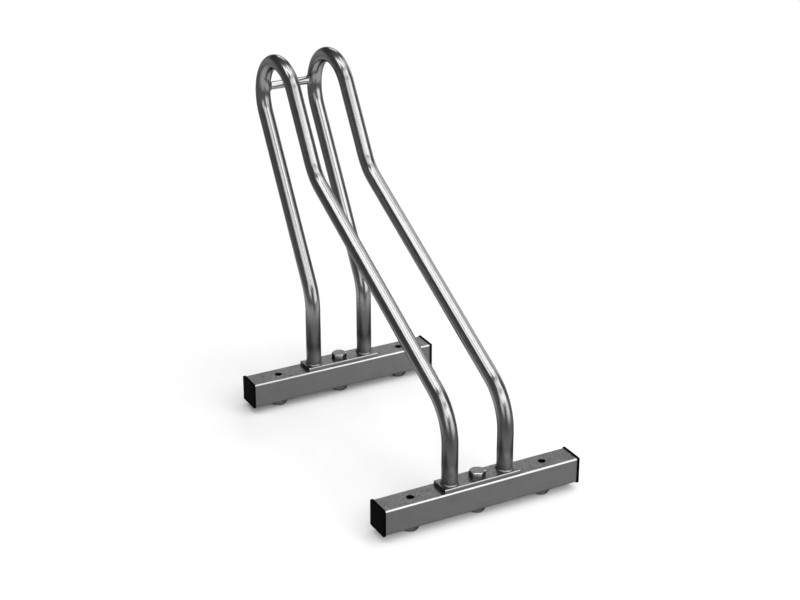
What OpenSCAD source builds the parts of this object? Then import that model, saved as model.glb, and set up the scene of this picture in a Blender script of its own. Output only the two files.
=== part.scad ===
// Floor bike stand: two bent tube hoops on base plates, each plate bolted to a square tube beam.
// Origin on the floor, midway between the beams and between the hoops.
// +X along the beams to the right, +Y from the entry side to the rear, +Z up. Millimetres.

/* [Beams] */
// Side of the square tube that each beam is cut from
beam_side = 35; // [32:0.5:40]
// Wall of the square tube
beam_wall = 2; // [1.5:0.1:3]
// Outer corner radius of the square tube
beam_corner_r = 2.5; // [1:0.1:3.5]
// Length of a beam over its end caps
beam_length = 288; // [260:1:340]
// Distance between the centre lines of the two beams
beam_spacing = 392; // [350:1:430]

/* [Floor anchors] */
// Distance from each end of a beam to the anchor hole near it
anchor_inset = 47; // [35:1:55]
// Diameter of the anchor holes through beam and foot
anchor_hole_d = 10.5; // [8.5:0.1:11]

/* [Hexagons] */
// Width across flats of the bolt heads, the clamp nuts and the feet
hex_flats = 19; // [18:0.1:21]
// Thickness of the clamp nuts and of the feet, which stand on the floor together
hex_t = 10; // [8:0.1:12]
// Diameter of the faced circle on a hexagon, as a share of its width across flats
hex_face_share = 0.94;
// Angle of the chamfer on the corners of a hexagon, from its face
hex_chamfer_angle = 30; // [20:1:35]

/* [Clamp bolts] */
// Diameter of the bolt shank
bolt_d = 12; // [10:0.5:12.5]
// Height of the bolt head
bolt_head_t = 7.5; // [6:0.1:9]
// Chamfer at the tip of the bolt
bolt_tip_chamfer = 1; // [0.5:0.1:1.5]
// Added to the shank diameter for the holes through plate and beam
bolt_hole_clearance = 1; // [0.5:0.1:1.5]
// Gap all round between the shank and the nut that it screws into
thread_clearance = 0.1; // [0.05:0.01:0.2]

/* [Base plates] */
// Length of a base plate
plate_length = 110; // [106:1:125]
// Width of a base plate
plate_width = 30; // [28:0.5:32]
// Thickness of a base plate
plate_t = 5; // [4:0.1:8]
// Chamfer along the upper edges of a base plate
plate_chamfer = 0.8; // [0.3:0.1:1.5]

/* [Hoops] */
// Outside diameter of the hoop tube
tube_d = 21.3; // [18:0.1:22]
// Wall of the hoop tube
tube_wall = 2; // [1.2:0.1:3]
// Distance between the centre planes of the two hoops
hoop_spacing = 81; // [72:0.5:84]
// Height of a hoop above the floor
hoop_height = 481.5; // [455:0.5:520]
// Height above the floor at which the front leg's line meets the slope's line
front_knee_z = 144.5; // [130:0.5:155]
// Height above the floor at which the rear leg's line meets the rear limb's line
rear_knee_z = 154; // [135:0.5:175]
// Angle of the long slope from the vertical
slope_angle = 62.5; // [58:0.5:66]
// Angle of the two upper limbs from the vertical
limb_angle = 31.5; // [27:0.5:36]
// Centre line radius of the knees and of the bend above the slope
knee_r = 70; // [50:1:75]
// Centre line radius of the bend at the top
top_r = 56.3; // [50:0.1:62]

/* [Cross bar] */
// Diameter of the round bar between the hoops
bar_d = 12; // [8:0.5:14]
// Place of the bar on the top bend, as an angle from the end of the rear limb
bar_angle = 39; // [15:1:90]

/* [End caps] */
// Thickness of a cap's outer plate
cap_plate_t = 3; // [2:0.1:4]
// How far the outer plate stands proud of the beam all round
cap_overhang = 1.4; // [0:0.1:2]
// Chamfer round the outer face of a cap
cap_chamfer = 0.8; // [0.3:0.1:1.2]
// How far a cap's plug reaches into the beam
plug_length = 17; // [12:0.5:22]
// Wall of the hollow plug
plug_wall = 1.6; // [1:0.1:2.5]
// Distance from the beam's inner wall to the plug's core
rib_reach = 2.4; // [1.5:0.1:3.5]
// Thickness of a sprung rib round the plug
rib_t = 1.4; // [0.8:0.1:2]
// Number of ribs round the plug
rib_count = 3; // [2:1:4]
// Gap between the ribs and the beam's inner wall
rib_clearance = 0.15; // [0.05:0.05:0.4]

/* [Welds] */
// Leg of the fillet weld round each hoop foot
foot_weld = 2; // [1:0.1:4]
// Leg of the fillet weld round each end of the cross bar
bar_weld = 2; // [1:0.1:3]

/* [Hidden] */
$fn = 64;

// How far a cut runs past the face that it cuts
overrun = 1;

// Steel of the beams and plates, of the hoops, of the fasteners and welds, and the caps' plastic
beam_colour = "gray";
hoop_colour = "darkgray";
fastener_colour = "silver";
weld_colour = "dimgray";
cap_colour = "black";

front_y = -beam_spacing / 2;
rear_y = beam_spacing / 2;
beam_top_z = hex_t + beam_side;
plate_top_z = beam_top_z + plate_t;
beam_tube_length = beam_length - 2 * cap_plate_t;
anchor_x = beam_length / 2 - anchor_inset;
beam_inner_side = beam_side - 2 * beam_wall;
beam_inner_r = max(beam_corner_r - beam_wall, 0);
bolt_hole_d = bolt_d + bolt_hole_clearance;
tube_r = tube_d / 2;
bar_r = bar_d / 2;
hex_corners = hex_flats / cos(30);

// How much thinner the tube is in its drawn bends than in its straight runs
bend_thinning = 0.04;
bend_d = tube_d - bend_thinning;
// How far a straight run reaches into the bend at its end, and how much its radius narrows there
run_reach = 2;
run_taper = 0.1;

// Outline of a hoop in its own plane, as [y, z]: directions and corners from the front foot to the rear
up = [0, 1];
slope_dir = [sin(slope_angle), cos(slope_angle)];
limb_dir = [sin(limb_angle), cos(limb_angle)];
across_dir = [cos(limb_angle), -sin(limb_angle)];
front_foot = [front_y, plate_top_z];
rear_foot = [rear_y, plate_top_z];
front_knee = [front_y, front_knee_z];
rear_knee = [rear_y, rear_knee_z];
// The rear limb is as long as puts the top of the bend at the hoop's height
limb_rise = hoop_height - bend_d / 2 - top_r - rear_knee_z - top_r * sin(limb_angle);
top_centre = rear_knee + limb_dir * limb_rise / cos(limb_angle) - across_dir * top_r;
front_limb_end = top_centre - across_dir * top_r;
rear_limb_end = top_centre + across_dir * top_r;
// The slope is as long as brings it to the front limb's line
slope_length = cross2(front_limb_end - front_knee, limb_dir) / cross2(slope_dir, limb_dir);
crest = front_knee + slope_dir * slope_length;

front_knee_setback = setback(up, slope_dir);
crest_setback = setback(slope_dir, limb_dir);
rear_knee_setback = setback(limb_dir, up);

// Each straight run: where it starts and ends, and whether it is a foot that it starts or ends with
hoop_runs = [
    [front_foot, front_knee - up * front_knee_setback, true, false],
    [front_knee + slope_dir * front_knee_setback, crest - slope_dir * crest_setback, false, false],
    [crest + limb_dir * crest_setback, front_limb_end, false, false],
    [rear_limb_end, rear_knee + limb_dir * rear_knee_setback, false, false],
    [rear_knee - up * rear_knee_setback, rear_foot, false, true],
];
// Each bend: its centre, its radius, the angle that it starts from and the angle it sweeps
hoop_bends = [
    knee(front_knee, up, slope_dir),
    knee(crest, slope_dir, limb_dir),
    [top_centre, top_r, -limb_angle, 180],
    knee(rear_knee, -limb_dir, -up),
];

// The cross bar's centre, on the top bend's centre line
bar_centre = top_centre + (across_dir * cos(bar_angle) + limb_dir * sin(bar_angle)) * top_r;

function cross2(a, b) = a.x * b.y - a.y * b.x;
function angle_of(v) = atan2(v.y, v.x);
// Angle from direction a to direction b, positive to the left
function turn(a, b) = atan2(cross2(a, b), a * b);
// Distance from a knee's corner to where its bend starts and ends
function setback(a, b) = knee_r * tan(abs(turn(a, b)) / 2);
// The bend where a run in direction a turns into direction b, in the form of hoop_bends
function knee(corner, a, b) =
    let (
        side = sign(turn(a, b)),
        inward = side * [-a.y, a.x],
        start = angle_of(-inward)
    )
    [
        corner - a * setback(a, b) + inward * knee_r,
        knee_r,
        side > 0 ? start : start + turn(a, b),
        abs(turn(a, b)),
    ];

// Half the outline of a run's end of radius r, from the axis outwards: [radius, distance past the end]
function run_end(is_foot, past_foot, r) =
    is_foot
        ? [[0, past_foot], [r, past_foot]]
        : [[0, run_reach], [r - run_taper, run_reach], [r, 0]];

// A straight stretch of rod of the XY plane from a to b, with tapered ends that reach into the bends
module run(a, b, foot_a, foot_b, past_foot, r) {
    length = norm(b - a);
    first = [for (p = run_end(foot_a, past_foot, r)) [p.x, -p.y]];
    last = [for (p = run_end(foot_b, past_foot, r)) [p.x, length + p.y]];
    translate(a)
        rotate([0, 90, angle_of(b - a)])
            rotate_extrude()
                polygon(concat(first, [for (i = [len(last) - 1 : -1 : 0]) last[i]]));
}

// A bent stretch of rod of the XY plane
module bend(centre, radius, start, sweep, d) {
    translate(centre)
        rotate(start)
            rotate_extrude(angle = sweep)
                translate([radius, 0])
                    circle(d = d);
}

// A rod along the whole outline, thinner all round by inset, and longer at its feet
module bent_rod(inset, past_foot) {
    for (r = hoop_runs)
        run(r[0], r[1], r[2], r[3], past_foot, tube_r - inset);
    for (b = hoop_bends)
        bend(b[0], b[1], b[2], b[3], bend_d - 2 * inset);
}

// Stands a shape drawn in the XY plane up in the YZ plane at x
module in_hoop_plane(x) {
    translate([x, 0, 0])
        rotate([90, 0, 90])
            children();
}

module hoop(x) {
    color(hoop_colour)
        in_hoop_plane(x)
            difference() {
                bent_rod(0, 0);
                bent_rod(tube_wall, overrun);
            }
}

// The whole ring that the top bend of the hoop at x is a part of
module top_ring(x) {
    in_hoop_plane(x)
        translate(top_centre)
            rotate_extrude()
                translate([top_r, 0])
                    circle(d = bend_d);
}

module at_bar(x) {
    translate([x, bar_centre.x, bar_centre.y])
        rotate([0, 90, 0])
            children();
}

// A round bar whose ends are coped to the tubes
module cross_bar() {
    color(fastener_colour)
        difference() {
            at_bar(-hoop_spacing / 2)
                cylinder(d = bar_d, h = hoop_spacing);
            for (side = [-1, 1])
                top_ring(side * hoop_spacing / 2);
        }
}

module cross_bar_welds() {
    color(weld_colour)
        for (side = [-1, 1])
            difference() {
                at_bar(side * hoop_spacing / 2)
                    mirror([0, 0, side > 0 ? 1 : 0])
                        rotate_extrude()
                            polygon([
                                [bar_r, 0],
                                [bar_r + bar_weld, 0],
                                [bar_r + bar_weld, tube_r],
                                [bar_r, tube_r + bar_weld],
                            ]);
                top_ring(side * hoop_spacing / 2);
            }
}

// Fillet welds round the two hoop feet on the plate at y
module foot_welds(y) {
    leg = min(foot_weld, (plate_width - tube_d) / 2 - plate_chamfer);
    color(weld_colour)
        for (side = [-1, 1])
            translate([side * hoop_spacing / 2, y, plate_top_z])
                rotate_extrude()
                    polygon([[tube_r, 0], [tube_r + leg, 0], [tube_r, leg]]);
}

module rounded_square(side, r) {
    flat = side - 2 * r;
    square([side, flat], center = true);
    square([flat, side], center = true);
    if (r > 0)
        for (x = [-1, 1], y = [-1, 1])
            translate([x * flat / 2, y * flat / 2])
                circle(r = r);
}

// Draws a profile of the YZ plane out along X, centred
module along_x(length) {
    rotate([90, 0, 90])
        linear_extrude(height = length, center = true)
            children();
}

module beam(y) {
    color(beam_colour)
        translate([0, y, hex_t + beam_side / 2])
            difference() {
                along_x(beam_tube_length)
                    difference() {
                        rounded_square(beam_side, beam_corner_r);
                        rounded_square(beam_inner_side, beam_inner_r);
                    }
                cylinder(d = bolt_hole_d, h = beam_side + 2 * overrun, center = true);
                for (side = [-1, 1])
                    translate([side * anchor_x, 0, 0])
                        cylinder(d = anchor_hole_d, h = beam_side + 2 * overrun, center = true);
            }
}

module plate(y) {
    half = plate_width / 2;
    color(beam_colour)
        translate([0, y, beam_top_z])
            difference() {
                along_x(plate_length)
                    polygon([
                        [-half, 0],
                        [half, 0],
                        [half, plate_t - plate_chamfer],
                        [half - plate_chamfer, plate_t],
                        [plate_chamfer - half, plate_t],
                        [-half, plate_t - plate_chamfer],
                    ]);
                translate([0, 0, -overrun])
                    cylinder(d = bolt_hole_d, h = plate_t + 2 * overrun);
            }
}

// A hexagon of thickness t from z = 0, corners towards front and rear, chamfered above
// and, where both is true, below
module hexagon(t, both) {
    face_r = hex_flats * hex_face_share / 2;
    drop = (hex_corners / 2 - face_r) * tan(hex_chamfer_angle);
    intersection() {
        rotate(30)
            cylinder(d = hex_corners, h = t, $fn = 6);
        rotate_extrude()
            polygon([
                [0, 0],
                [both ? face_r : hex_corners / 2, 0],
                [hex_corners / 2, both ? drop : 0],
                [hex_corners / 2, t - drop],
                [face_r, t],
                [0, t],
            ]);
    }
}

module bolt(y) {
    color(fastener_colour)
        translate([0, y, 0]) {
            translate([0, 0, plate_top_z])
                hexagon(bolt_head_t, false);
            rotate_extrude()
                polygon([
                    [0, 0],
                    [bolt_d / 2 - bolt_tip_chamfer, 0],
                    [bolt_d / 2, bolt_tip_chamfer],
                    [bolt_d / 2, plate_top_z],
                    [0, plate_top_z],
                ]);
        }
}

// A bored hexagon on the floor at [x, y]
module bored_hexagon(x, y, bore_d) {
    color(fastener_colour)
        translate([x, y, 0])
            difference() {
                hexagon(hex_t, true);
                translate([0, 0, -overrun])
                    cylinder(d = bore_d, h = hex_t + 2 * overrun);
            }
}

module nut(y) {
    bored_hexagon(0, y, bolt_d + 2 * thread_clearance);
}

module foot(x, y) {
    bored_hexagon(x, y, anchor_hole_d);
}

// Outline of a cap's square plate seen edge on: [along the beam, across it]
module cap_plate_profile(side) {
    half = side / 2;
    polygon([
        [0, -half],
        [cap_plate_t - cap_chamfer, -half],
        [cap_plate_t, cap_chamfer - half],
        [cap_plate_t, half - cap_chamfer],
        [cap_plate_t - cap_chamfer, half],
        [0, half],
    ]);
}

module cap_plate() {
    side = beam_side + 2 * cap_overhang;
    intersection() {
        along_x(2 * cap_plate_t)
            rounded_square(side, beam_corner_r + cap_overhang);
        linear_extrude(height = side, center = true)
            cap_plate_profile(side);
        rotate([90, 0, 0])
            linear_extrude(height = side, center = true)
                cap_plate_profile(side);
    }
}

// The hollow plug behind the plate, with its ribs that grip the beam
module cap_plug() {
    core_side = beam_inner_side - 2 * rib_reach;
    rib_side = beam_inner_side - 2 * rib_clearance;
    rib_pitch = (plug_length - rib_t) / rib_count;
    difference() {
        union() {
            translate([-plug_length / 2, 0, 0])
                along_x(plug_length)
                    square(core_side, center = true);
            for (i = [1 : rib_count])
                translate([-i * rib_pitch - rib_t / 2, 0, 0])
                    along_x(rib_t)
                        rounded_square(rib_side, max(beam_inner_r, rib_clearance));
        }
        translate([-plug_length / 2 - overrun, 0, 0])
            along_x(plug_length + 2 * overrun)
                square(core_side - 2 * plug_wall, center = true);
    }
}

// The cap in the end of the beam at y that lies on the given side
module cap(side, y) {
    color(cap_colour)
        translate([0, y, hex_t + beam_side / 2])
            mirror([side < 0 ? 1 : 0, 0, 0])
                translate([beam_tube_length / 2, 0, 0]) {
                    cap_plate();
                    cap_plug();
                }
}

module left_hoop() { hoop(-hoop_spacing / 2); }
module right_hoop() { hoop(hoop_spacing / 2); }
module front_plate() { plate(front_y); }
module rear_plate() { plate(rear_y); }
module front_beam() { beam(front_y); }
module rear_beam() { beam(rear_y); }
module front_left_cap() { cap(-1, front_y); }
module front_right_cap() { cap(1, front_y); }
module rear_left_cap() { cap(-1, rear_y); }
module rear_right_cap() { cap(1, rear_y); }
module front_bolt() { bolt(front_y); }
module rear_bolt() { bolt(rear_y); }
module front_nut() { nut(front_y); }
module rear_nut() { nut(rear_y); }
module front_left_foot() { foot(-anchor_x, front_y); }
module front_right_foot() { foot(anchor_x, front_y); }
module rear_left_foot() { foot(-anchor_x, rear_y); }
module rear_right_foot() { foot(anchor_x, rear_y); }
module front_foot_welds() { foot_welds(front_y); }
module rear_foot_welds() { foot_welds(rear_y); }

left_hoop();
right_hoop();
cross_bar();
front_plate();
rear_plate();
front_beam();
rear_beam();
front_left_cap();
front_right_cap();
rear_left_cap();
rear_right_cap();
front_bolt();
rear_bolt();
front_nut();
rear_nut();
front_left_foot();
front_right_foot();
rear_left_foot();
rear_right_foot();
front_foot_welds();
rear_foot_welds();
cross_bar_welds();
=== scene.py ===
"""Floor bike stand: looks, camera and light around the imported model.

Metres. +X runs along the beams to the right, +Y to the rear, +Z up.
"""

import math

import bmesh
import bpy
from mathutils import Matrix, Quaternion, Vector


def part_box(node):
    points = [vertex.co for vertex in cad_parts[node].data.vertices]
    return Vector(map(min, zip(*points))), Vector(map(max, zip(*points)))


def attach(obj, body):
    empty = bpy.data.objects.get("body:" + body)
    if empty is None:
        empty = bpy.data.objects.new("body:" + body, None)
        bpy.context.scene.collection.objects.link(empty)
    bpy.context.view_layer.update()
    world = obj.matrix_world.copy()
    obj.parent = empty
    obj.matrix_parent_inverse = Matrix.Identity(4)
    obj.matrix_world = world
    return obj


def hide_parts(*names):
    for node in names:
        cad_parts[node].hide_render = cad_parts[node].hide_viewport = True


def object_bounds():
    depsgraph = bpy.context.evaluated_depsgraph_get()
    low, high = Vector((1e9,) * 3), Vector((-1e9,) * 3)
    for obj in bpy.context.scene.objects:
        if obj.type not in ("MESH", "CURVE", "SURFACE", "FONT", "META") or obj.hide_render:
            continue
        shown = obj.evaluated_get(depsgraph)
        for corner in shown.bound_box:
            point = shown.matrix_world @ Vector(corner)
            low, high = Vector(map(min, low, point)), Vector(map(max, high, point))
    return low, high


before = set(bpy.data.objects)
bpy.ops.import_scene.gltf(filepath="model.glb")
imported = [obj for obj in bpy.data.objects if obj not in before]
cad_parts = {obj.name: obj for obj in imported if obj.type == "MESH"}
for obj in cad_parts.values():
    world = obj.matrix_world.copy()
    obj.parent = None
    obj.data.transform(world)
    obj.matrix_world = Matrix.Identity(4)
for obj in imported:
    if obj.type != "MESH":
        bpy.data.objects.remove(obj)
cad_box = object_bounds()

MM = 0.001
BODY = "root"

# The photograph's view. The camera aims aside of and above the point midway between the beams' undersides.
CAMERA_AZIMUTH = math.radians(-28.347)
CAMERA_ELEVATION = math.radians(23.922)
CAMERA_DISTANCE = 2.413968
CAMERA_ASIDE = -0.004974
CAMERA_RISE = 0.188973
CAMERA_CLIP = (0.1, 100)
# Millimetres, as Blender takes them
CAMERA_LENS = 79.388
CAMERA_SENSOR = 36


def middle(node):
    """Centre of a CAD node's box."""
    low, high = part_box(node)
    return (low + high) / 2


def away():
    """The level direction in which the photograph's camera looks."""
    return Vector((-math.sin(CAMERA_AZIMUTH), math.cos(CAMERA_AZIMUTH), 0))


def mesh_object(name, bm):
    """A smooth shaded object from bm."""
    mesh = bpy.data.meshes.new(name)
    bm.normal_update()
    bm.to_mesh(mesh)
    bm.free()
    for polygon in mesh.polygons:
        polygon.use_smooth = True
    piece = bpy.data.objects.new(name, mesh)
    bpy.context.scene.collection.objects.link(piece)
    return piece


# Materials

# The middle part of a noise, which spread() maps to the range that is wanted
NOISE_MIDDLE = (0.3, 0.7)

# The steel's fine and coarse streaks: length along the grain and width across it
FINE_GRAIN = (40 * MM, 0.35 * MM)
COARSE_GRAIN = (160 * MM, 1.8 * MM)
# Sizes of its clouds, its grit and the specks on level tops
CLOUD_SIZE = 22 * MM
GRIT_SIZE = 0.9 * MM
SPECK_SIZE = 1.7 * MM
# Shares by which these vary its tone where grain and mottle are 1
FINE_SHARE = 0.07
COARSE_SHARE = 0.06
CLOUD_SHARE = 0.05
GRIT_SHARE = 0.08
# How far fine grain and clouds vary its roughness
ROUGHNESS_RANGE = 0.03
# Depth of its relief, and the height of grit in it where that of the fine grain is 1
STEEL_RELIEF = 0.02 * MM
GRIT_HEIGHT = 0.5
# Upper edges are rubbed bright and carry a painted highlight where a normal's rise times its level reach
# grows from the first to the second
RUBBED_HIGHLIGHT_SLANT = (0.15, 0.35)
RUBBED_HIGHLIGHT_LEAST = 0.8
# Rise of the normal from which a face counts as level
LEVEL_RISE = 0.98
# How much of the steel's gleam at grazing angles is kept
EDGE_TINT = 0.3
# Heights between which the hoops' legs darken towards their welds, and how much rougher they get there
DARKER_NEAR_FEET = (150 * MM, 108 * MM)
ROUGHER_NEAR_FEET = 0.14
# Heights between which they turn bright just above the welds, and their colour there
BRIGHT_NEAR_WELDS = (82 * MM, 58 * MM)
BRIGHT_NEAR_WELDS_COLOUR = 0.6
# Axes of the texture coordinates along which the grain runs
LENGTHWISE = 0
UPRIGHT = 2

# The caps' plastic: sizes of its eroded texture and of its clouds, and its ranges
TEXTURE_SIZE = 0.4 * MM
PLASTIC_CLOUD_SIZE = 9 * MM
PLASTIC_TONE = (0.001, 0.0025)
PLASTIC_ROUGHNESS = (0.55, 0.7)
PLASTIC_GLEAM = 0.008
PLASTIC_RELIEF = 0.03 * MM
PLASTIC_RELIEF_STRENGTH = 0.25

FLOOR_COLOUR = 0.82
# The floor is an oval: how far its middle lies behind the object, and its half width and half depth
FLOOR_BEHIND = 0.8
FLOOR_OVAL = (1.05, 1.6)
# Part of the oval after which the floor fades out
FLOOR_FADE = 0.55


class Nodes:
    """Makes and links the nodes of one material or world."""

    def __init__(self, owner):
        owner.use_nodes = True
        self.tree = owner.node_tree
        self.tree.nodes.clear()

    def add(self, kind, inputs=(), **settings):
        """A node with its settings, and its inputs set or linked."""
        node = self.tree.nodes.new(kind)
        for key, value in settings.items():
            setattr(node, key, value)
        for key, value in dict(inputs).items():
            self.feed(node.inputs[key], value)
        return node

    def feed(self, socket, value):
        """Links value to the socket if it is one itself, or sets it there."""
        if isinstance(value, bpy.types.NodeSocket):
            self.tree.links.new(value, socket)
        else:
            socket.default_value = value

    def coordinate(self, kind):
        return self.add("ShaderNodeTexCoord").outputs[kind]

    def third(self, vector):
        """The last component of a vector."""
        return self.add("ShaderNodeSeparateXYZ", {0: vector}).outputs[2]

    def math(self, operation, a, b=0.0):
        return self.add("ShaderNodeMath", {0: a, 1: b}, operation=operation).outputs[0]

    def mix(self, factor, a, b):
        """a where factor is 0 and b where it is 1."""
        inputs = {"Factor": factor, "A": a, "B": b}
        return self.add("ShaderNodeMix", inputs, data_type="FLOAT").outputs[0]

    def ramp(self, value, start, end, low=0.0, high=1.0):
        """Goes smoothly from low, where value is start, to high, where it is end."""
        inputs = {"Value": value, "From Min": start, "From Max": end, "To Min": low, "To Max": high}
        return self.add("ShaderNodeMapRange", inputs, interpolation_type="SMOOTHSTEP").outputs[0]

    def noise(self, place, sizes, detail=3.0, roughness=0.55):
        """A noise of place, with the sizes of its patches along the three axes."""
        scaled = self.add("ShaderNodeMapping", {"Vector": place, "Scale": [1 / size for size in sizes]})
        inputs = {"Vector": scaled.outputs[0], "Scale": 1.0, "Detail": detail, "Roughness": roughness}
        return self.add("ShaderNodeTexNoise", inputs).outputs["Fac"]

    def spread(self, noise, low, high):
        """Maps the middle of a noise to low..high."""
        start, end = NOISE_MIDDLE
        inputs = {"Value": noise, "From Min": start, "From Max": end, "To Min": low, "To Max": high}
        return self.add("ShaderNodeMapRange", inputs).outputs[0]

    def varied(self, value, noise, share):
        """value, more or less by up to a share of it as the noise goes."""
        return self.math("MULTIPLY", value, self.spread(noise, 1 - share, 1 + share))

    def rise(self):
        """1 on faces that look up, 0 on upright ones."""
        return self.third(self.add("ShaderNodeNewGeometry").outputs["True Normal"])

    def rubbed_highlight_edges(self, patchy):
        """Mask of the rubbed wear and painted highlight: 1 on edges that look up and out, less where
        patchy is low, and 0 on level or upright faces.
        """
        rise = self.rise()
        out = self.math("SQRT", self.math("SUBTRACT", 1.0, self.math("MULTIPLY", rise, rise)))
        slanted = self.ramp(self.math("MULTIPLY", rise, out), *RUBBED_HIGHLIGHT_SLANT)
        return self.math("MULTIPLY", slanted, self.spread(patchy, RUBBED_HIGHLIGHT_LEAST, 1.0))

    def grey(self, value):
        return self.add("ShaderNodeCombineColor", {0: value, 1: value, 2: value}).outputs[0]


def opaque_grey(value):
    """A constant grey for a shader's colour socket."""
    return [value] * 3 + [1.0]


def steel(name, coordinate, along, colour, roughness, grain=1.0, mottle=1.0, relief=0.12,
          rubbed_highlight=None, top=None, specks=0.0, tone_near_feet=None):
    """Satin steel with grain along one axis of the coordinate.

    rubbed_highlight is the colour of its rubbed upper edges, which also paints a highlight on them, top
    that of its level top, which paints shade there, and tone_near_feet that of its legs towards the welds
    of the feet, with a bright band just above the welds. specks is how far the tone of its level top
    varies from spot to spot.
    """
    material = bpy.data.materials.new(name)
    nodes = Nodes(material)
    place = nodes.coordinate(coordinate)

    def streaks(length, width):
        return [length if axis == along else width for axis in range(3)]

    fine = nodes.noise(place, streaks(*FINE_GRAIN), detail=4.0, roughness=0.6)
    coarse = nodes.noise(place, streaks(*COARSE_GRAIN))
    cloudy = nodes.noise(place, [CLOUD_SIZE] * 3, detail=4.0, roughness=0.6)
    grit = nodes.noise(place, [GRIT_SIZE] * 3, detail=2.0)

    tone = nodes.varied(colour, fine, FINE_SHARE * grain)
    tone = nodes.varied(tone, coarse, COARSE_SHARE * grain)
    tone = nodes.varied(tone, cloudy, CLOUD_SHARE * mottle)
    tone = nodes.varied(tone, grit, GRIT_SHARE * mottle)
    # Rubbed upper edges, lightened both as wear and as a painted highlight
    if rubbed_highlight is not None:
        tone = nodes.mix(nodes.rubbed_highlight_edges(cloudy), tone, rubbed_highlight)
    # A level top given its own tone paints shade on it, as on the bolt heads' darker tops
    if top is not None or specks:
        level = nodes.math("GREATER_THAN", nodes.rise(), LEVEL_RISE)
        spots = nodes.noise(place, [SPECK_SIZE] * 3, detail=2.0, roughness=0.7)
        tone = nodes.mix(level, tone, nodes.varied(tone if top is None else top, spots, specks))

    rough = nodes.math("ADD", nodes.spread(fine, -ROUGHNESS_RANGE, ROUGHNESS_RANGE), roughness)
    cloud_range = ROUGHNESS_RANGE * mottle
    rough = nodes.math("ADD", rough, nodes.spread(cloudy, -cloud_range, cloud_range))
    # The legs turn darker and rougher towards the feet, and bright just above the welds
    if tone_near_feet is not None:
        height = nodes.third(nodes.coordinate("Object"))
        near = nodes.ramp(height, *DARKER_NEAR_FEET)
        tone = nodes.mix(near, tone, nodes.math("MULTIPLY", tone, tone_near_feet / colour))
        bright = nodes.math("MULTIPLY", tone, BRIGHT_NEAR_WELDS_COLOUR / tone_near_feet)
        tone = nodes.mix(nodes.ramp(height, *BRIGHT_NEAR_WELDS), tone, bright)
        rough = nodes.math("ADD", rough, nodes.math("MULTIPLY", near, ROUGHER_NEAR_FEET))

    surface = nodes.math("ADD", fine, nodes.math("MULTIPLY", grit, GRIT_HEIGHT))
    bump = nodes.add("ShaderNodeBump", {"Strength": relief, "Distance": STEEL_RELIEF, "Height": surface})
    shader = nodes.add("ShaderNodeBsdfPrincipled", {
        "Base Color": nodes.grey(tone),
        "Metallic": 1.0,
        "Roughness": rough,
        "Specular Tint": opaque_grey(EDGE_TINT),
        "Normal": bump.outputs[0],
    })
    nodes.add("ShaderNodeOutputMaterial", {"Surface": shader.outputs[0]})
    return material


def cap_plastic():
    """Black moulded plastic with a fine spark-eroded texture."""
    material = bpy.data.materials.new("cap_plastic")
    nodes = Nodes(material)
    place = nodes.coordinate("Object")
    texture = nodes.noise(place, [TEXTURE_SIZE] * 3)
    cloudy = nodes.noise(place, [PLASTIC_CLOUD_SIZE] * 3)
    bump = nodes.add("ShaderNodeBump", {
        "Strength": PLASTIC_RELIEF_STRENGTH,
        "Distance": PLASTIC_RELIEF,
        "Height": texture,
    })
    shader = nodes.add("ShaderNodeBsdfPrincipled", {
        "Base Color": nodes.grey(nodes.spread(cloudy, *PLASTIC_TONE)),
        "Roughness": nodes.spread(texture, *PLASTIC_ROUGHNESS),
        "Specular IOR Level": PLASTIC_GLEAM,
        "Normal": bump.outputs[0],
    })
    nodes.add("ShaderNodeOutputMaterial", {"Surface": shader.outputs[0]})
    return material


def floor_paint():
    """Pale matte paint on an oval that fades out towards its edge."""
    material = bpy.data.materials.new("floor_paint")
    nodes = Nodes(material)
    paint = nodes.add("ShaderNodeBsdfDiffuse", {"Color": opaque_grey(FLOOR_COLOUR)})
    oval = nodes.add("ShaderNodeMapping", {
        "Vector": nodes.coordinate("Object"),
        "Location": away() * FLOOR_BEHIND,
        "Rotation": [0, 0, CAMERA_AZIMUTH],
        "Scale": [*FLOOR_OVAL, 1],
    }, vector_type="TEXTURE").outputs[0]
    distance = nodes.add("ShaderNodeVectorMath", {0: oval}, operation="LENGTH").outputs["Value"]
    gone = nodes.ramp(distance, FLOOR_FADE, 1.0)
    clear = nodes.add("ShaderNodeBsdfTransparent")
    shader = nodes.add("ShaderNodeMixShader", {0: gone, 1: paint.outputs[0], 2: clear.outputs[0]})
    nodes.add("ShaderNodeOutputMaterial", {"Surface": shader.outputs[0]})
    return material


# Hoops

# Their outline, as in the part's source
KNEE_R = 70 * MM
TOP_R = 56.3 * MM
FRONT_KNEE_Z = 144.5 * MM
REAR_KNEE_Z = 154 * MM
SLOPE_ANGLE = math.radians(62.5)
LIMB_ANGLE = math.radians(31.5)
TUBE_WALL = 2 * MM

TUBE_SIDES = 64
BEND_STEP = math.radians(2.5)


def direction(angle):
    """The unit vector of the hoops' plane, (y, z), at an angle from the vertical towards the rear."""
    return Vector((math.sin(angle), math.cos(angle)))


def tube_radius(node):
    """Outer radius of a hoop's tube."""
    low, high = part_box(node)
    return (high.x - low.x) / 2


def top_bend_centre():
    """Centre of the hoops' top bend in their plane."""
    limb = direction(LIMB_ANGLE)
    across = Vector((limb.y, -limb.x))
    rear_knee = Vector((middle("rear_beam").y, REAR_KNEE_Z))
    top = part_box("left_hoop")[1].z - tube_radius("left_hoop")
    rise = top - TOP_R - REAR_KNEE_Z - TOP_R * math.sin(LIMB_ANGLE)
    return rear_knee + limb * (rise / math.cos(LIMB_ANGLE)) - across * TOP_R


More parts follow.
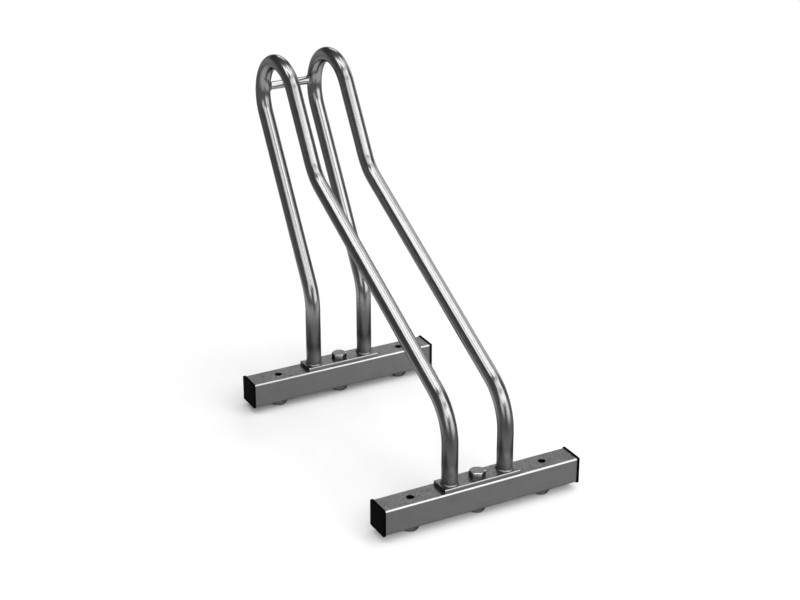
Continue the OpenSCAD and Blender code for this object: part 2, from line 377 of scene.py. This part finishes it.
def hoop_outline():
    """The hoops' centre line in their plane, (y, z), as [(point, direction)] from front foot to rear."""
    foot_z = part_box("left_hoop")[0].z
    front_y = middle("front_beam").y
    rear_y = middle("rear_beam").y
    up = direction(0)
    slope = direction(SLOPE_ANGLE)
    limb = direction(LIMB_ANGLE)
    front_knee = Vector((front_y, FRONT_KNEE_Z))
    rear_knee = Vector((rear_y, REAR_KNEE_Z))
    centre = top_bend_centre()

    # The crest is where the slope meets the front limb
    front_end = centre - Vector((limb.y, -limb.x)) * TOP_R
    gap = front_end - front_knee
    length = (gap.x * limb.y - gap.y * limb.x) / (slope.x * limb.y - slope.y * limb.x)
    crest = front_knee + slope * length

    line = [(Vector((front_y, foot_z)), up)]

    def arc(centre, radius, start, end):
        """Adds an arc whose direction goes from angle start to angle end."""
        side = math.copysign(1, end - start)
        steps = max(2, math.ceil(abs(end - start) / BEND_STEP))
        for i in range(steps + 1):
            d = direction(start + (end - start) * i / steps)
            outward = Vector((-d.y, d.x)) * side
            line.append((centre + outward * radius, d))

    def knee(corner, start, end):
        """Adds the bend that rounds off a corner of the outline."""
        a = direction(start)
        setback = KNEE_R * math.tan(abs(end - start) / 2)
        inward = Vector((a.y, -a.x)) * math.copysign(1, end - start)
        arc(corner - a * setback + inward * KNEE_R, KNEE_R, start, end)

    knee(front_knee, 0, SLOPE_ANGLE)
    knee(crest, SLOPE_ANGLE, LIMB_ANGLE)
    arc(centre, TOP_R, LIMB_ANGLE, LIMB_ANGLE + math.pi)
    knee(rear_knee, LIMB_ANGLE + math.pi, math.pi)
    line.append((Vector((rear_y, foot_z)), -up))
    return line


def tube_rings(bm, line, x, radius):
    """A ring of vertices round each point of the centre line."""
    rings = []
    for point, d in line:
        outward = Vector((0, -d.y, d.x))
        ring = []
        for i in range(TUBE_SIDES):
            angle = math.tau * i / TUBE_SIDES
            offset = outward * math.cos(angle) + Vector((math.sin(angle), 0, 0))
            ring.append(bm.verts.new(Vector((x, point.x, point.y)) + offset * radius))
        rings.append(ring)
    return rings


def hoop(name, node, material):
    """The bent tube as one clean hollow sweep, with its length and girth as texture coordinates."""
    line = hoop_outline()
    tube_r = tube_radius(node)
    x = middle(node).x
    bm = bmesh.new()
    uv = bm.loops.layers.uv.new("tube")
    outer, inner = [tube_rings(bm, line, x, radius) for radius in (tube_r, tube_r - TUBE_WALL)]
    lengths = [0.0]
    for (a, _), (b, _) in zip(line, line[1:]):
        lengths.append(lengths[-1] + (b - a).length)

    def band(ring, other, start, end, inside=False):
        """The faces from one ring to another, with the texture coordinates start and end lengthwise."""
        for i in range(TUBE_SIDES):
            k = (i + 1) % TUBE_SIDES
            girth, next_girth = [tube_r * math.tau * n / TUBE_SIDES for n in (i, i + 1)]
            corners = [
                (ring[i], (start, girth)),
                (ring[k], (start, next_girth)),
                (other[k], (end, next_girth)),
                (other[i], (end, girth)),
            ]
            if inside:
                corners.reverse()
            face = bm.faces.new([vertex for vertex, _ in corners])
            for loop, (_, place) in zip(face.loops, corners):
                loop[uv].uv = place

    for rings in (outer, inner):
        for j in range(len(line) - 1):
            band(rings[j], rings[j + 1], lengths[j], lengths[j + 1], inside=rings is inner)
    for j in (0, -1):
        band(outer[j], inner[j], lengths[j], lengths[j] + TUBE_WALL)
    bmesh.ops.recalc_face_normals(bm, faces=bm.faces)
    piece = mesh_object(name, bm)
    piece.data.materials.append(material)
    # The two cut ends, made last, are flat
    for polygon in piece.data.polygons[-2 * TUBE_SIDES:]:
        polygon.use_smooth = False
    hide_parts(node)
    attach(piece, BODY)


# Weld beads

BEAD_STEPS = 240
BEAD_ARC_STEPS = 8
# Roundness of the section, 0 for a straight face between the legs and 1 for a full quarter circle
BEAD_ROUNDNESS = 0.35
# The valleys between the ripples, and the ripples' height over them, as shares of the legs
BEAD_REACH = 0.81
RIPPLE_HEIGHT = 0.12
RIPPLE = 2.2 * MM
# How far the ripples run ahead in the middle of the bead, in radians of a ripple's wave
RIPPLE_CRESCENT = 1.1
# Slow waves round the bead: share of the legs, waves to a turn, phase
BEAD_WAVES = ((0.04, 3, 1), (0.03, 7, 0))


def bead(bm, girth, section):
    """A closed rippled bead: section(angle) gives its root corner and its two full legs there."""
    ripples = round(girth / RIPPLE)
    rings = []
    for i in range(BEAD_STEPS):
        angle = math.tau * i / BEAD_STEPS
        root, leg_a, leg_b = section(angle)
        wander = sum(size * math.sin(waves * angle + phase) for size, waves, phase in BEAD_WAVES)
        ring = [bm.verts.new(root)]
        for j in range(BEAD_ARC_STEPS + 1):
            t = math.pi / 2 * j / BEAD_ARC_STEPS
            crescent = RIPPLE_CRESCENT * math.sin(2 * t)
            scallop = math.sqrt(abs(math.sin(ripples * angle / 2 + crescent)))
            full = BEAD_ROUNDNESS + (1 - BEAD_ROUNDNESS) / (math.cos(t) + math.sin(t))
            reach = full * (BEAD_REACH + RIPPLE_HEIGHT * scallop + wander)
            ring.append(bm.verts.new(root + leg_a * math.cos(t) * reach + leg_b * math.sin(t) * reach))
        rings.append(ring)
    for ring, other in zip(rings, rings[1:] + rings[:1]):
        for j in range(len(ring)):
            k = (j + 1) % len(ring)
            bm.faces.new([ring[j], ring[k], other[k], other[j]])
    bmesh.ops.recalc_face_normals(bm, faces=bm.faces)


def finish_beads(bm, name, node, material):
    """The finished piece for a weld node, with the beads in bm."""
    piece = mesh_object(name, bm)
    piece.data.materials.append(material)
    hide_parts(node)
    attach(piece, BODY)


def foot_beads(name, node, material):
    """The fillets round the two tube feet on a base plate."""
    low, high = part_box(node)
    leg = high.z - low.z
    bm = bmesh.new()
    for hoop_node in ("left_hoop", "right_hoop"):
        tube_r = tube_radius(hoop_node)
        centre = Vector((middle(hoop_node).x, (low.y + high.y) / 2, low.z))

        def section(angle):
            out = Vector((math.cos(angle), math.sin(angle), 0))
            return centre + out * tube_r, out * leg, Vector((0, 0, leg))

        bead(bm, math.tau * tube_r, section)
    finish_beads(bm, name, node, material)


def bar_beads(name, node, material):
    """The fillets where the ends of the cross bar meet the hoops' top bends."""
    bar_low, bar_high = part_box("cross_bar")
    low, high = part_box(node)
    bar_r = (bar_high.z - bar_low.z) / 2
    leg = (high.z - low.z) / 2 - bar_r
    axis = middle("cross_bar")
    bend = top_bend_centre()
    bm = bmesh.new()
    for hoop_node, inward in (("left_hoop", 1), ("right_hoop", -1)):
        plane_x = middle(hoop_node).x
        tube_r = tube_radius(hoop_node)

        def on_tube(angle, radius):
            """The point of the tube's surface at a radius and angle round the bar's axis."""
            y = axis.y + radius * math.cos(angle)
            z = axis.z + radius * math.sin(angle)
            off = math.hypot(y - bend.x, z - bend.y) - TOP_R
            return Vector((plane_x + inward * math.sqrt(tube_r ** 2 - off ** 2), y, z))

        def section(angle):
            root = on_tube(angle, bar_r)
            return root, Vector((inward * leg, 0, 0)), on_tube(angle, bar_r + leg) - root

        bead(bm, math.tau * bar_r, section)
    finish_beads(bm, name, node, material)


# Stage

# The square sheet that carries the oval of floor paint
FLOOR_SIDE = 6

LAMP_DISTANCE = 12
# Softboxes as seen from the object: azimuth, 0 at +Y and 90 at +X, elevation, width and height in degrees,
# radiance, and turn in degrees round their own axis
LAMPS = (
    ("overhead_left", -70, 65, 26, 15, 3.8, 0),
    ("overhead", 68, 89, 32, 16, 4.7, 22),
    ("overhead_right", 70, 65, 24, 15, 3.9, 0),
    ("right", 68, 40, 14, 20, 2.0, 0),
    ("right_low", 62, 12, 26, 24, 2.2, 0),
    ("link", 110, 55, 36, 22, 1.6, 0),
    ("front_high", 176, 63, 58, 18, 2.5, 0),
    ("front_right", 140, 33, 34, 24, 3.0, 0),
    ("front", 172, 38, 32, 18, 2.6, 0),
    ("front_left", -155, 36, 34, 18, 2.4, 0),
    ("front_left_low", -141, 15, 28, 20, 1.9, 0),
    ("front_low", 147, 7, 48, 26, 2.5, 0),
    ("back_right", 28, 24, 18, 15, 6.0, 0),
)

# Brightness of the walls, of the backdrop behind the object and of the ceiling
WALL_LEVEL = 0.23
BACKDROP_LEVEL = 1.0
CEILING_LEVEL = 0.12
# Wall turns into backdrop between these cosines of the angle from the direction in which the camera looks,
# and both turn into ceiling between these sines of the elevation
BACKDROP_EDGE = (0.35, 0.8)
CEILING_EDGE = (0.04, 0.28)


def softbox(name, azimuth, elevation, wide, tall, radiance, turn):
    """A rectangular lamp that faces the object."""
    a, e = math.radians(azimuth), math.radians(elevation)
    towards = Vector((math.sin(a) * math.cos(e), math.cos(a) * math.cos(e), math.sin(e)))
    lamp = bpy.data.lights.new(name, "AREA")
    lamp.shape = "RECTANGLE"
    lamp.size = 2 * LAMP_DISTANCE * math.tan(math.radians(wide / 2))
    lamp.size_y = 2 * LAMP_DISTANCE * math.tan(math.radians(tall / 2))
    lamp.energy = radiance * math.pi * lamp.size * lamp.size_y
    holder = bpy.data.objects.new(name, lamp)
    holder.location = (cad_box[0] + cad_box[1]) / 2 + towards * LAMP_DISTANCE
    holder.rotation_mode = "QUATERNION"
    facing = towards.to_track_quat("Z", "Y")
    holder.rotation_quaternion = facing @ Quaternion((0, 0, 1), math.radians(turn))
    holder.visible_camera = False
    bpy.context.scene.collection.objects.link(holder)


def studio():
    """Grey walls, a white backdrop behind the object and a darker ceiling."""
    world = bpy.data.worlds.new("studio")
    bpy.context.scene.world = world
    nodes = Nodes(world)
    ray = nodes.coordinate("Generated")
    towards = nodes.add("ShaderNodeVectorMath", {0: ray, 1: away()}, operation="DOT_PRODUCT")
    wall = nodes.ramp(towards.outputs["Value"], *BACKDROP_EDGE, WALL_LEVEL, BACKDROP_LEVEL)
    level = nodes.ramp(nodes.third(ray), *CEILING_EDGE, wall, CEILING_LEVEL)
    shader = nodes.add("ShaderNodeBackground", {"Color": nodes.grey(level), "Strength": 1.0})
    nodes.add("ShaderNodeOutputWorld", {"Surface": shader.outputs[0]})


def floor():
    """The sheet under the object."""
    bm = bmesh.new()
    bmesh.ops.create_grid(bm, x_segments=1, y_segments=1, size=FLOOR_SIDE / 2)
    piece = mesh_object("floor", bm)
    piece.data.materials.append(floor_paint())


def camera():
    """The photograph's camera."""
    a, e = CAMERA_AZIMUTH, CAMERA_ELEVATION
    back = Vector((math.sin(a) * math.cos(e), -math.cos(a) * math.cos(e), math.sin(e)))
    right = Vector((math.cos(a), math.sin(a), 0))
    up = back.cross(right)
    data = bpy.data.cameras.new("camera")
    data.lens = CAMERA_LENS
    data.sensor_width = CAMERA_SENSOR
    data.clip_start, data.clip_end = CAMERA_CLIP
    holder = bpy.data.objects.new("camera", data)
    underside = Vector((0, 0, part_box("front_beam")[0].z))
    aim = underside + right * CAMERA_ASIDE + up * CAMERA_RISE
    holder.location = aim + back * CAMERA_DISTANCE
    holder.rotation_mode = "QUATERNION"
    holder.rotation_quaternion = Matrix((right, up, back)).transposed().to_quaternion()
    bpy.context.scene.collection.objects.link(holder)
    bpy.context.scene.camera = holder


def dress(material, slot, *nodes):
    """Gives CAD nodes their material."""
    for node in nodes:
        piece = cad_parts[node]
        piece.data.materials.clear()
        piece.data.materials.append(material)


hoop_steel = steel(
    "hoop_steel", "UV", LENGTHWISE, colour=0.27, roughness=0.21, grain=0.7, relief=0.05, tone_near_feet=0.125)
bar_steel = steel(
    "bar_steel", "Object", LENGTHWISE, colour=0.30, roughness=0.20, grain=0.6, relief=0.06)
# Beams and plates: their rubbed upper edges carry a painted highlight
beam_steel = steel(
    "beam_steel", "Object", LENGTHWISE, colour=0.15, roughness=0.43, grain=0.6, relief=0.4,
    rubbed_highlight=0.5, specks=0.6)
plate_steel = steel(
    "plate_steel", "Object", LENGTHWISE, colour=0.155, roughness=0.42, grain=0.6, relief=0.4,
    rubbed_highlight=0.38, specks=0.6)
# Bolts: their darker level top is painted shade, and their rubbed chamfer carries a painted highlight
bolt_steel = steel(
    "bolt_steel", "Object", UPRIGHT, colour=0.26, roughness=0.28, rubbed_highlight=0.5, top=0.10, specks=0.3)
foot_steel = steel("foot_steel", "Object", UPRIGHT, colour=0.15, roughness=0.40)
weld_steel = steel("weld_steel", "Object", UPRIGHT, colour=0.20, roughness=0.30)

camera()
hoop("left_tube", "left_hoop", hoop_steel)
hoop("right_tube", "right_hoop", hoop_steel)
foot_beads("front_foot_beads", "front_foot_welds", weld_steel)
foot_beads("rear_foot_beads", "rear_foot_welds", weld_steel)
bar_beads("cross_bar_beads", "cross_bar_welds", weld_steel)
dress(bar_steel, "hoop_steel", "cross_bar")
dress(beam_steel, "beam_steel", "front_beam", "rear_beam")
dress(plate_steel, "beam_steel", "front_plate", "rear_plate")
dress(bolt_steel, "bolt_steel", "front_bolt", "rear_bolt")
dress(foot_steel, "foot_steel", "front_nut", "rear_nut")
dress(foot_steel, "foot_steel", "front_left_foot", "front_right_foot", "rear_left_foot", "rear_right_foot")
dress(cap_plastic(), "cap_plastic", "front_left_cap", "front_right_cap", "rear_left_cap", "rear_right_cap")
floor()
for lamp in LAMPS:
    softbox(*lamp)
studio()
bpy.context.scene.view_settings.view_transform = "Standard"
